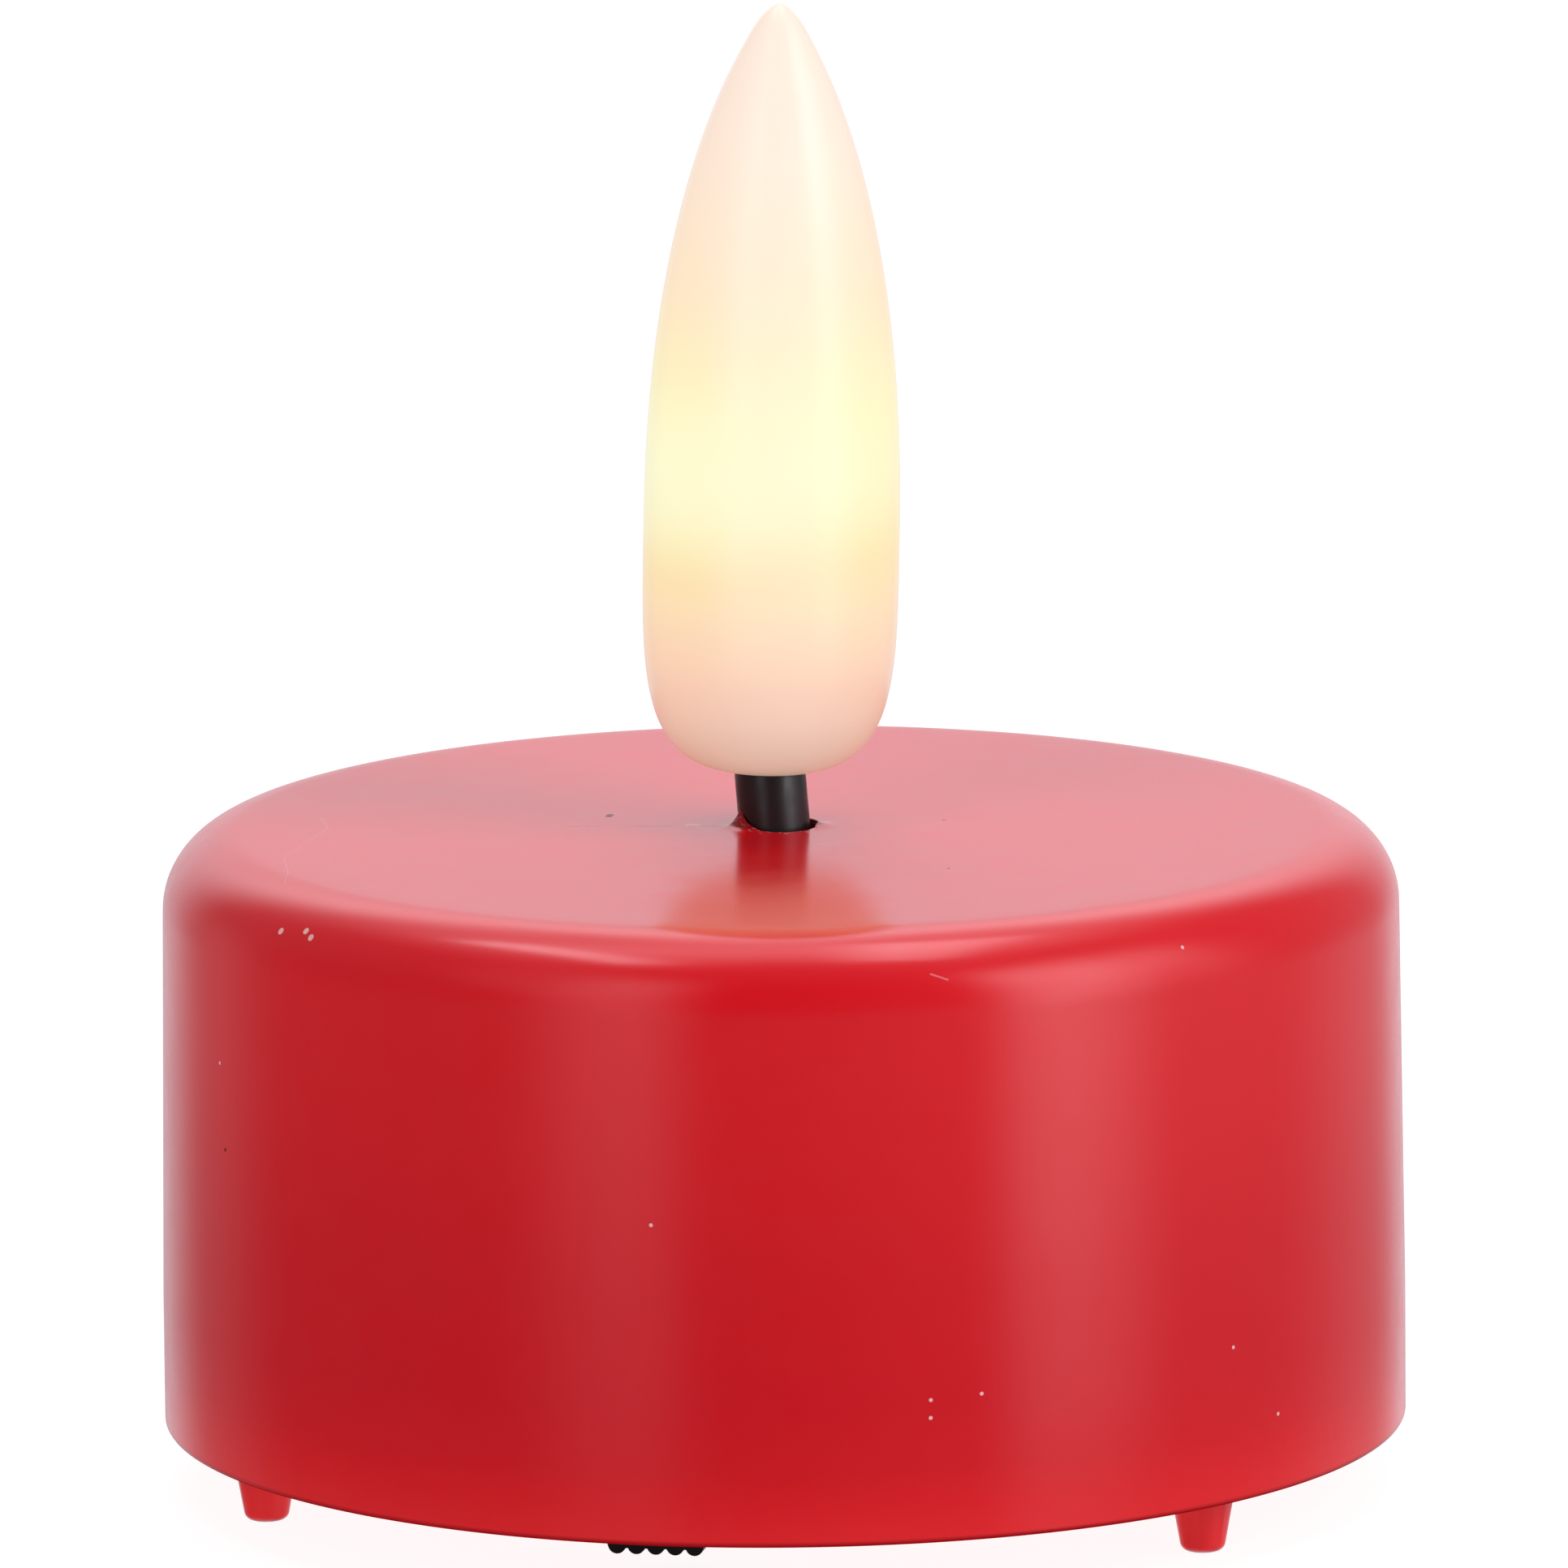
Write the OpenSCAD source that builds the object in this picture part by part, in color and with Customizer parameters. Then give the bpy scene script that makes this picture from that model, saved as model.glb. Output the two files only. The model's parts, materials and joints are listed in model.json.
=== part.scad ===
// Flameless LED tealight. A moulded body carries a hollow flame tip on a short
// black sleeve. A coin cell sits in the base behind a screwed door, and a slide
// switch beside it turns the light on and off.
// Millimetres, +Z up, origin on the surface that the feet stand on, below the
// middle of the body. The switch is on the -Y side.

/* [Body] */
// Diameter of the body at its rim
rim_d = 38; // [37.8:0.1:38.6]
// Height of the body from its rim to its flat top
body_h = 18.3; // [18:0.1:19.5]
// Height of the rim above the surface
rim_lift = 1.9; // [1.7:0.1:2.1]
// Radius of the rounded edge round the top
top_edge_r = 2.4; // [1.8:0.1:2.8]
// Draft angle of the side wall, in degrees
draft = 0.6; // [0.3:0.1:0.9]
// Wall thickness of the body
wall = 1; // [0.9:0.05:1.05]

/* [Flame] */
// Length of the flame tip
flame_len = 23.6; // [22:0.1:25]
// Diameter of the flame tip at its widest
flame_d = 7.8; // [7.7:0.1:8.6]
// Height of the flame tip above the flat top
flame_gap = 1.7; // [1.6:0.1:2.4]
// Lean of the flame tip towards +X, in degrees
flame_lean = 1.4; // [0:0.1:1.5]

/* [Sleeve] */
// Outer diameter of the black sleeve
sleeve_d = 2.17; // [2.1:0.01:2.2]
// Lean of the sleeve towards -X, in degrees
sleeve_lean = 4.5; // [3:0.5:5]
// Diameter of the hole in the top that the sleeve passes through
wick_hole_d = 2.6; // [2.55:0.05:2.8]

/* [Coin cell] */
// Diameter of the coin cell
cell_d = 20; // [19.8:0.1:20]
// Thickness of the coin cell
cell_h = 3.2; // [3:0.1:3.2]

/* [Switch] */
// Travel of the slide switch
switch_travel = 2.2; // [2:0.1:2.5]
// Number of grip ribs across the switch knob
knob_ribs = 5; // [4:1:6]
// Length of the switch knob along its travel
knob_len = 2.95; // [2.6:0.05:3]

/* [Feet] */
// Distance of each foot from the middle
foot_ring_r = 16.85; // [16.6:0.05:16.9]
// Diameter of a foot where it joins the base
foot_d = 2.05; // [1.8:0.05:2.1]

/* [Hidden] */
$fn = 96;
eps = 0.01;         // overlap of solids that join
over = 1;           // how far a cutter reaches past the face that it cuts
gap = 0.1;          // clearance between parts that lift or slide past each other
turn_gap = 0.05;    // clearance between a screw and its bore
touch_gap = 0.02;   // clearance between parts that rest on each other

// Body shell
rim_r = rim_d / 2;
band_h = 4;         // straight band above the rim, below the drafted wall
top_z = rim_lift + body_h;
ceiling_z = top_z - wall;
top_r = rim_r - (body_h - band_h) * tan(draft);
inner_r = rim_r - wall;
inner_top_r = top_r - wall;
edge_steps = 16;
rim_chamfer = 0.15;
collar_boss_r = 2.9;
collar_bore_r = 1.9;
collar_boss_z = top_z - 5.5;
stop_rib_w = 0.8;
stop_rib_depth = 1.4;
stop_rib_h = 5.5;
stop_rib_step = 60; // angle from each rib to the next

// Base plate, with the snap bead that holds it in the shell
plate_z = rim_lift + 0.2;
plate_t = 1.4;
plate_top_z = plate_z + plate_t;
plate_r = inner_r - 0.15;
bead_z = [plate_z + 0.5, plate_z + 1.1];
bead_slope = [0.2, 0.1];
bead_r = inner_r + 0.1;
groove_r = inner_r + 0.25;
mark_lift = 0.15;   // how far the raised marks stand out from the base
mark_root = 0.05;   // how far they reach into it
mark_bar = [0.3, 1.4];
mark_ring_r = [0.75, 0.45];

// Feet
foot_tip_r = 0.69;
foot_round = 0.28;
foot_angles = [90, 211.3, 328.7];

// Coin cell and its compartment
cell_r = cell_d / 2;
cell_y = 4;
door_t = 1.2;
door_lip_h = 0.3;
door_lip_w = 1;
cell_z = plate_z + door_t + door_lip_h + 0.05;
cell_top_z = cell_z + cell_h;
pocket_r = cell_r + 0.25;
pocket_wall = 1.1;
pocket_roof_z = cell_top_z + 1.1;
pocket_roof_t = 1;
pocket_top_z = pocket_roof_z + pocket_roof_t;

// Cell, of a drawn can and a drawn cap with a sealing ring between them
can_t = 0.25;
can_edge_r = [0.5, 0.4];    // its lower and upper edges
can_lip_drop = 0.2;
can_neck_drop = 0.7;
cap_r = 8.8;
cap_edge_r = 0.35;
gasket_t = 0.35;
core_gap = 0.05;

// Battery door, with the ear that its screw passes through
door_r = 11.2;
ear_y = -9.2;
ear_r = 2.3;
ear_h = 1.8;
ear_floor_t = 0.7;
ear_seat_z = plate_z + ear_h - ear_floor_t;
ear_pocket_h = 2.3;
ear_wall = 0.5;
ear_roof_t = 0.8;
plus_mark = [4, 0.7];
nail_notch_r = 1.6;
nail_notch_h = 0.6;

// Screws
door_screw_d = 2;
door_screw_head_d = 3.5;
door_screw_len = 5.4;
door_screw_play = 0.7;      // depth of its bore past its tip
board_screw_d = 1.4;
board_screw_head_d = 2.8;
board_screw_len = 4.5;
screw_head_h = 0.9;
screw_boss_r = 2;
thread_pitch = 0.6;
retainer_r = 1.7;
retainer_t = 0.3;

// Circuit board and the posts that it stands on
board_r = 15.8;
board_z = 10.5;
board_t = 1;
board_top_z = board_z + board_t;
post_xy = [[-12.8, -4], [12.8, -4]];
post_r = 1.7;
rest_pad_xy = [[-6, 9], [6, 9]];
rest_pad_r = 1.5;

// Chip, in an eight-leg case, and the two parts beside it
chip_xy = [-6.6, 3.4];
chip_size = [3.9, 4.9, 1.4];
chip_lift = 0.15;
chip_dimple_r = 0.35;
chip_dimple_xy = 0.7;
chip_dimple_depth = 0.1;
leg_pitch = 1.27;
leg_t = 0.18;
leg_w = 0.42;
leg_reach = [0.45, 0.6, 1.15];
leg_top = 0.9;
chip_part_size = [2, 1.25];
resistor_h = 0.5;
resistor_xy = [6.2, -1.6];
capacitor_h = 0.85;
capacitor_xy = [6.2, 1.4];

// Slide switch
switch_y = -14.1;
frame_size = [8.6, 3.6, 3.7];
frame_t = 0.3;
frame_z = plate_top_z;
frame_tab = [1.2, 0.6];
frame_tab_in = [1, 0.5];
switch_board_z = frame_z + 2.8;
switch_board_t = 0.6;
pin_pitch = switch_travel;
pin_size = [0.8, 0.4];
pin_pad = [1.5, 1.8, 0.16];
pin_pad_drop = 0.1;
pin_play = 0.02;
pin_hole = [1, 0.6];
solder_h = 0.6;     // how far pins and tabs stand above the board
mark_x = frame_size.x / 2 + 0.9;

// Its slider, of a ribbed knob, a neck and a carrier for the wiper
knob_w = 2.4;
knob_z = 0.8;
knob_x = -switch_travel / 2;
rib_depth = 0.3;
rib_share = 0.46;   // radius of a rib over the distance between ribs
neck_size = [1.9, 1.4, 2];
carrier_size = [4, 2.7, 1.2];
carrier_z = frame_z + frame_t + gap;
carrier_top_z = carrier_z + carrier_size.z;
wiper_t = 0.2;
wiper_w = 1.6;
wiper_flat = 0.7;
wiper_end = 0.5;
wiper_top_z = switch_board_z - 0.36;

// Contacts, sheet strip
contact_t = 0.3;
contact_w = 3.6;
contact_play = 0.2; // of a slot in the board over a tab, in all
tab_top_z = board_top_z + solder_h;
plus_tab_x = pocket_r + 0.8;
plus_slot_w = 2;
plus_slot_z = cell_z + 0.4;
plus_tip_z = cell_z + 0.6;
minus_tab_y = cell_y - 7;
minus_bend = 1.5;
minus_apex_y = cell_y + 0.5;
minus_tip = [cell_y + 2.5, cell_top_z + 0.55];

// Sleeve and LED, in the sleeve's own leaning frame
sleeve_r = sleeve_d / 2;
sleeve_bore_r = 0.8;
sleeve_offset = -0.18;
sleeve_bottom = -8;
collar_r = 1.58;
collar_from = -4.8;
collar_to = -2;
led_base = 7.5;
led_r = 1.5;
led_len = 5.2;
led_flange_w = 0.12;
led_flange_h = 0.8;
led_leg_r = 0.21;
led_leg_in = 1.4;   // how far the legs reach into the lens
wire_r = 0.3;
wire_hole_r = 0.36;
wire_spacing = 0.84;
wire_top = led_base - 2.2;
wire_bottom = board_z - 0.3 - top_z;

// Flame tip, in its own leaning frame
flame_r = flame_d / 2;
flame_offset = -0.37;
flame_wall = 0.8;
flame_ends_t = 2.1; // walls at its bottom and its tip together
belly = 0.32;       // share of the length where the flame is widest
flame_steps = 44;

// ---------- helpers ----------

// Points of an arc about c, from angle a to angle b
function arc(c, r, a, b, n) = [for (i = [0:n]) c + r * [cos(a + (b - a) * i / n), sin(a + (b - a) * i / n)]];

function unit(v) = v / norm(v);
function left_of(v) = [-v.y, v.x];

// Offset direction at point i of a bent path, mitred at its corners
function mitre(path, i) =
    let (last = len(path) - 1)
    let (before = left_of(unit(path[max(i, 1)] - path[max(i, 1) - 1])))
    let (after = left_of(unit(path[min(i, last - 1) + 1] - path[min(i, last - 1)])))
    let (middle = unit(before + after))
    middle / (middle * before);

// Outline of a strip of thickness t bent along a path
function strip_outline(path, t) = concat(
    [for (i = [0:len(path) - 1]) path[i] + t / 2 * mitre(path, i)],
    [for (i = [len(path) - 1:-1:0]) path[i] - t / 2 * mitre(path, i)]
);

// A strip bent in the XZ plane and w wide along Y
module strip_xz(path, t, w)
    rotate([90, 0, 0])
        linear_extrude(w, center = true)
            polygon(strip_outline(path, t));

// A strip bent in the YZ plane and w wide along X
module strip_yz(path, t, w)
    rotate([90, 0, 90])
        linear_extrude(w, center = true)
            polygon(strip_outline(path, t));

module ring(outer_r, inner_r, h)
    difference() {
        cylinder(r = outer_r, h = h);
        translate([0, 0, -over])
            cylinder(r = inner_r, h = h + 2 * over);
    }

// A block on z = 0, centred on the z axis
module block(size, h)
    translate([-size.x / 2, -size.y / 2, 0])
        cube([size.x, size.y, h]);

// A pan-head screw, pointing up, with its head below z = 0 and rings for thread
module screw(d, head_d, length) {
    root_r = 0.8 * d / 2;
    head_round = 0.35;
    slot = [0.6 * head_d, 0.14 * head_d];
    turns = floor((length - d / 2) / thread_pitch);
    rotate_extrude()
        polygon(concat(
            [[0, 0], [root_r, 0]],
            [for (i = [0:turns - 1]) each [
                [root_r, (i + 0.1) * thread_pitch],
                [d / 2, (i + 0.5) * thread_pitch],
                [root_r, (i + 0.9) * thread_pitch],
            ]],
            [[root_r, turns * thread_pitch], [0, length]]
        ));
    difference() {
        translate([0, 0, -screw_head_h])
            rotate_extrude()
                polygon(concat(
                    [[0, 0]],
                    arc([head_d / 2 - head_round, head_round], head_round, -90, 0, 6),
                    [[head_d / 2, screw_head_h], [0, screw_head_h]]
                ));
        for (turn = [0, 90])
            rotate(turn)
                translate([0, 0, -screw_head_h - over])
                    block(slot, over + screw_head_h / 2);
    }
}

// Everything on the sleeve leans with it, about the hole in the top
module on_sleeve()
    translate([sleeve_offset, 0, top_z])
        rotate([0, -sleeve_lean, 0])
            children();

module on_flame()
    translate([flame_offset, 0, top_z + flame_gap])
        rotate([0, flame_lean, 0])
            children();

module sleeve_rod(r, from, to)
    on_sleeve()
        translate([0, 0, from])
            cylinder(r = r, h = to - from);

// Rods along the sleeve, one for each of the LED's two poles
module pole_rods(r, from, to)
    for (side = [-1, 1])
        on_sleeve()
            translate([side * wire_spacing / 2, 0, from])
                cylinder(r = r, h = to - from);

// ---------- body ----------

function shell_outside() = concat(
    [[wick_hole_d / 2, top_z]],
    arc([top_r - top_edge_r, top_z - top_edge_r], top_edge_r, 90, 0, edge_steps),
    [
        [rim_r, rim_lift + band_h],
        [rim_r, rim_lift + rim_chamfer],
        [rim_r - rim_chamfer, rim_lift],
    ]
);

function shell_inside() = concat(
    [
        [inner_r, rim_lift],
        [inner_r, bead_z[0] - gap],
        [groove_r, bead_z[0] - gap],
        [groove_r, bead_z[1] + gap],
        [inner_r, bead_z[1] + gap],
    ],
    arc([inner_top_r - top_edge_r + wall, top_z - top_edge_r], top_edge_r - wall, 0, 90, edge_steps),
    [
        [collar_boss_r, ceiling_z],
        [collar_boss_r, collar_boss_z],
        [collar_bore_r, collar_boss_z],
        [collar_bore_r, ceiling_z],
        [wick_hole_d / 2, ceiling_z],
    ]
);

module outer_shell()
    color("crimson") {
        rotate_extrude()
            polygon(concat(shell_outside(), shell_inside()));
        // ribs that stop the base plate
        for (turn = [0:stop_rib_step:359])
            rotate(turn)
                intersection() {
                    translate([inner_r - stop_rib_depth, -stop_rib_w / 2, plate_top_z + gap])
                        cube([stop_rib_depth + wall / 2, stop_rib_w, stop_rib_h]);
                    cylinder(r = inner_r + wall / 4, h = top_z);
                }
    }

module foot()
    rotate_extrude()
        polygon(concat(
            [[0, 0]],
            arc([foot_tip_r - foot_round, foot_round], foot_round, -90, -10, 6),
            [[foot_d / 2, plate_z + eps], [0, plate_z + eps]]
        ));

// Outline of the door, or of the recess that it sits in
module door_outline(grow) {
    translate([0, cell_y])
        circle(door_r + grow);
    translate([0, ear_y])
        circle(ear_r + grow);
    translate([-ear_r - grow, ear_y])
        square([2 * (ear_r + grow), cell_y - ear_y]);
}

// Raised marks on the base: a bar at the lit end of the switch, a ring at the other
module switch_marks()
    translate([0, switch_y, plate_z - mark_lift]) {
        translate([-mark_x, 0, 0])
            block(mark_bar, mark_lift + mark_root);
        translate([mark_x, 0, 0])
            ring(mark_ring_r[0], mark_ring_r[1], mark_lift + mark_root);
    }

module base_bead()
    translate([0, 0, bead_z[0]])
        rotate_extrude()
            polygon([
                [0, 0],
                [plate_r, 0],
                [bead_r, bead_slope[0]],
                [bead_r, bead_z[1] - bead_z[0] - bead_slope[1]],
                [plate_r, bead_z[1] - bead_z[0]],
                [0, bead_z[1] - bead_z[0]],
            ]);

module base_solid() {
    translate([0, 0, plate_z])
        cylinder(r = plate_r, h = plate_t);
    base_bead();
    for (a = foot_angles)
        rotate(a)
            translate([foot_ring_r, 0, 0])
                foot();
    translate([0, cell_y, plate_z])
        cylinder(r = pocket_r + pocket_wall, h = pocket_top_z - plate_z);
    translate([0, ear_y, plate_z])
        cylinder(r = ear_r + ear_wall, h = ear_pocket_h + ear_roof_t);
    translate([0, ear_y, plate_z])
        cylinder(r = screw_boss_r, h = pocket_top_z - plate_z);
    for (p = post_xy)
        translate([p.x, p.y, plate_z])
            cylinder(r = post_r, h = board_z - plate_z);
    for (p = rest_pad_xy)
        translate([p.x, p.y, pocket_top_z - eps])
            cylinder(r = rest_pad_r, h = board_z - pocket_top_z + eps);
    switch_marks();
}

module base_plate()
    color("firebrick")
        difference() {
            base_solid();
            // recess for the door and its ear
            translate([0, 0, plate_z - over])
                linear_extrude(door_t + over)
                    door_outline(gap);
            translate([0, ear_y, plate_z])
                cylinder(r = ear_r + gap, h = ear_pocket_h);
            // battery compartment
            translate([0, cell_y, plate_z])
                cylinder(r = pocket_r, h = pocket_roof_z - plate_z);
            // bores for the screws
            translate([0, ear_y, ear_seat_z - over])
                cylinder(r = door_screw_d / 2 + turn_gap, h = over + door_screw_len + door_screw_play);
            for (p = post_xy)
                translate([p.x, p.y, board_z - board_screw_len])
                    cylinder(r = board_screw_d / 2 + turn_gap, h = board_screw_len + over);
            // slots for the contacts
            translate([plus_tab_x, cell_y, plus_slot_z])
                block([plus_slot_w, contact_w + 2 * gap], pocket_top_z - plus_slot_z + over);
            translate([0, minus_tab_y, pocket_roof_z - over])
                block([contact_w + 2 * gap, contact_t + 2 * gap], pocket_roof_t + 2 * over);
            // slot for the switch knob
            translate([0, switch_y, plate_z - over])
                block([knob_len + switch_travel + 4 * gap, knob_w + 3 * gap], plate_t + 2 * over);
        }

module battery_door()
    color("firebrick")
        difference() {
            union() {
                translate([0, 0, plate_z])
                    linear_extrude(door_t)
                        door_outline(0);
                translate([0, cell_y, plate_z + door_t - eps])
                    ring(pocket_r - gap, pocket_r - gap - door_lip_w, door_lip_h + eps);
                translate([0, ear_y, plate_z])
                    cylinder(r = ear_r, h = ear_h);
                // raised plus sign, for the way round that the cell goes
                for (turn = [0, 90])
                    translate([0, cell_y, plate_z - mark_lift])
                        rotate(turn)
                            block(plus_mark, mark_lift + mark_root);
            }
            translate([0, ear_y, plate_z - over])
                cylinder(r = door_screw_head_d / 2 + 2 * gap, h = ear_h - ear_floor_t + over);
            translate([0, ear_y, plate_z])
                cylinder(r = door_screw_d / 2 + gap, h = ear_h + over);
            // notch for a fingernail
            translate([door_r, cell_y, plate_z - over])
                cylinder(r = nail_notch_r, h = nail_notch_h + over);
        }

module door_screw()
    color("silver")
        translate([0, ear_y, ear_seat_z - touch_gap])
            screw(door_screw_d, door_screw_head_d, door_screw_len);

// Push-on washer that keeps the screw in the door
module screw_retainer()
    color("ivory")
        translate([0, ear_y, plate_z + ear_h + touch_gap])
            ring(retainer_r, door_screw_d / 2 + touch_gap, retainer_t);

// ---------- slide switch ----------

function knob_outline() =
    let (pitch = knob_len / knob_ribs, rib_r = rib_share * pitch, side_z = knob_z + rib_depth)
    concat(
        [[knob_len / 2, side_z], [knob_len / 2, frame_z - gap]],
        [[-knob_len / 2, frame_z - gap], [-knob_len / 2, side_z]],
        [for (i = [0:knob_ribs - 1])
            each arc([(i + 0.5) * pitch - knob_len / 2, knob_z + rib_r], rib_r, 200, 340, 8)]
    );

module switch_knob()
    color([0.07, 0.07, 0.07])
        translate([knob_x, switch_y, 0]) {
            rotate([90, 0, 0])
                linear_extrude(knob_w, center = true)
                    polygon(knob_outline());
            translate([0, 0, frame_z - neck_size.z / 2])
                block(neck_size, neck_size.z);
            translate([0, 0, carrier_z])
                block(carrier_size, carrier_size.z);
        }

// A bent strip that bridges two of the pads
module switch_wiper() {
    seat_z = carrier_top_z + wiper_t / 2 + touch_gap;
    half = [
        [wiper_flat, seat_z],
        [pin_pitch / 2, wiper_top_z],
        [pin_pitch / 2 + wiper_end, carrier_top_z + wiper_end],
    ];
    color("goldenrod")
        translate([knob_x, switch_y, 0])
            strip_xz(concat([for (i = [2:-1:0]) [-half[i].x, half[i].y]], half), wiper_t, wiper_w);
}

module switch_frame()
    color("gainsboro")
        translate([0, switch_y, frame_z]) {
            difference() {
                block(frame_size, frame_size.z);
                translate([0, 0, frame_t])
                    block([frame_size.x - 2 * frame_t, frame_size.y - 2 * frame_t], frame_size.z);
                translate([0, 0, -over])
                    block([neck_size.x + switch_travel + 3 * gap, neck_size.y + 3 * gap], 2 * over);
            }
            // tabs bent over the board, one at each corner
            for (x = [-1, 1], y = [-1, 1])
                translate([
                    x * (frame_size.x / 2 - frame_tab_in.x),
                    y * (frame_size.y / 2 - frame_tab_in.y),
                    frame_size.z - frame_t,
                ])
                    block(frame_tab, frame_t);
        }

// Copies at each of the switch's three pins
module at_pins()
    for (i = [-1:1])
        translate([i * pin_pitch, switch_y, 0])
            children();

module switch_board()
    color("saddlebrown")
        difference() {
            translate([0, switch_y, switch_board_z])
                block([frame_size.x - 2 * frame_t - gap, frame_size.y - 2 * frame_t - gap], switch_board_t);
            at_pins()
                translate([0, 0, switch_board_z - over])
                    block([pin_size.x + pin_play, pin_size.y + pin_play], switch_board_t + 2 * over);
        }

module switch_pins()
    color("silver")
        at_pins() {
            translate([0, 0, switch_board_z - touch_gap - pin_pad.z])
                block(pin_pad, pin_pad.z);
            translate([0, 0, switch_board_z - pin_pad_drop])
                block(pin_size, tab_top_z - switch_board_z + pin_pad_drop);
        }

// ---------- circuit board ----------

module circuit_board()
    color("seagreen")
        difference() {
            translate([0, 0, board_z])
                cylinder(r = board_r, h = board_t);
            for (p = post_xy)
                translate([p.x, p.y, board_z - over])
                    cylinder(r = board_screw_d / 2 + gap, h = board_t + 2 * over);
            at_pins()
                translate([0, 0, board_z - over])
                    block(pin_hole, board_t + 2 * over);
            pole_rods(wire_hole_r, wire_bottom - 2 * over, wire_bottom + 3 * over);
            translate([plus_tab_x, cell_y, board_z - over])
                block([contact_t + contact_play, contact_w + contact_play], board_t + 2 * over);
            translate([0, minus_tab_y, board_z - over])
                block([contact_w + contact_play, contact_t + contact_play], board_t + 2 * over);
        }

module timer_chip()
    color([0.1, 0.1, 0.1])
        translate([chip_xy.x, chip_xy.y, board_top_z + chip_lift])
            difference() {
                block(chip_size, chip_size.z);
                translate([
                    chip_dimple_xy - chip_size.x / 2,
                    chip_size.y / 2 - chip_dimple_xy,
                    chip_size.z - chip_dimple_depth,
                ])
                    cylinder(r = chip_dimple_r, h = over);
            }

module chip_legs()
    color("silver")
        for (side = [0, 1], i = [-1.5:1:1.5])
            translate([chip_xy.x, chip_xy.y + i * leg_pitch, board_top_z])
                mirror([side, 0, 0])
                    strip_xz([
                        [chip_size.x / 2, leg_top],
                        [chip_size.x / 2 + leg_reach[0], leg_top],
                        [chip_size.x / 2 + leg_reach[1], leg_t / 2 + touch_gap],
                        [chip_size.x / 2 + leg_reach[2], leg_t / 2 + touch_gap],
                    ], leg_t, leg_w);

module chip_part(xy, h)
    translate([xy.x, xy.y, board_top_z])
        block(chip_part_size, h);

module chip_resistor() color("dimgray") chip_part(resistor_xy, resistor_h);
module chip_capacitor() color("tan") chip_part(capacitor_xy, capacitor_h);

module board_screws()
    color("silver")
        for (p = post_xy)
            translate([p.x, p.y, board_top_z + touch_gap])
                mirror([0, 0, 1])
                    screw(board_screw_d, board_screw_head_d, board_screw_len);

// ---------- coin cell and contacts ----------

module cell_can() {
    lip_z = cell_h - can_lip_drop;
    color("silver")
        translate([0, cell_y, cell_z])
            rotate_extrude()
                polygon(concat(
                    [[0, 0]],
                    arc([cell_r - can_edge_r[0], can_edge_r[0]], can_edge_r[0], -90, 0, 8),
                    arc([cell_r - can_edge_r[1], lip_z - can_edge_r[1]], can_edge_r[1], 0, 90, 6),
                    [
                        [cap_r + gasket_t, lip_z],
                        [cap_r + gasket_t, lip_z - can_t],
                        [cell_r - can_t, cell_h - can_neck_drop],
                        [cell_r - can_t, can_t],
                        [0, can_t],
                    ]
                ));
}

// The pressed electrodes inside the cell
module cell_core()
    color("darkslategray")
        translate([0, cell_y, cell_z + can_t])
            cylinder(r = cap_r - can_t - core_gap, h = cell_h - 2 * can_t);

module cell_gasket()
    color("dimgray")
        translate([0, cell_y, cell_z + can_t])
            ring(cap_r + gasket_t, cap_r, cell_h - can_lip_drop - can_t);

module cell_cap()
    color("gainsboro")
        translate([0, cell_y, cell_z])
            rotate_extrude()
                polygon(concat(
                    [[cap_r, can_t]],
                    arc([cap_r - cap_edge_r, cell_h - cap_edge_r], cap_edge_r, 0, 90, 5),
                    [
                        [0, cell_h],
                        [0, cell_h - can_t],
                        [cap_r - can_t, cell_h - can_t],
                        [cap_r - can_t, can_t],
                    ]
                ));

// Side leaf that presses on the can
module positive_contact()
    color("silver")
        translate([0, cell_y, 0])
            strip_xz([
                [plus_tab_x, tab_top_z],
                [plus_tab_x, cell_top_z - can_lip_drop],
                [cell_r + contact_t / 2 + 2 * touch_gap, cell_z + cell_h / 2],
                [plus_tab_x - gap, plus_tip_z],
            ], contact_t, contact_w);

// Roof leaf that presses on the cap
module negative_contact() {
    roof_z = pocket_roof_z - contact_t / 2 - touch_gap;
    color("silver")
        strip_yz([
            [minus_tab_y, tab_top_z],
            [minus_tab_y, roof_z],
            [minus_tab_y + minus_bend, roof_z],
            [minus_apex_y, cell_top_z + contact_t / 2 + touch_gap],
            minus_tip,
        ], contact_t, contact_w);
}

// ---------- LED and sleeve ----------

module led_lens()
    color([1, 0.95, 0.75])
        difference() {
            on_sleeve()
                translate([0, 0, led_base]) {
                    cylinder(r = led_r + led_flange_w, h = led_flange_h);
                    rotate_extrude()
                        polygon(concat(
                            [[0, 0], [led_r, 0]],
                            arc([0, led_len - led_r], led_r, 0, 90, 12)
                        ));
                }
            pole_rods(led_leg_r + eps, wire_top, led_base + led_leg_in);
        }

module led_legs()
    color("silver")
        pole_rods(led_leg_r, wire_top, led_base + led_leg_in);

module led_wire(side)
    on_sleeve()
        translate([side * wire_spacing / 2, 0, wire_bottom])
            cylinder(r = wire_r, h = wire_top - wire_bottom);

module led_wire_red() color("red") led_wire(-1);
module led_wire_black() color([0.1, 0.1, 0.1]) led_wire(1);

module wick_sleeve()
    color([0.08, 0.08, 0.08])
        difference() {
            sleeve_rod(sleeve_r, sleeve_bottom, led_base);
            sleeve_rod(sleeve_bore_r, sleeve_bottom - over, led_base + over);
        }

// Ring pressed on the sleeve, inside the boss under the top
module sleeve_collar()
    color("ivory")
        difference() {
            sleeve_rod(collar_r, collar_from, collar_to);
            sleeve_rod(sleeve_r, collar_from - over, collar_to + over);
        }

// ---------- flame tip ----------

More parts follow.
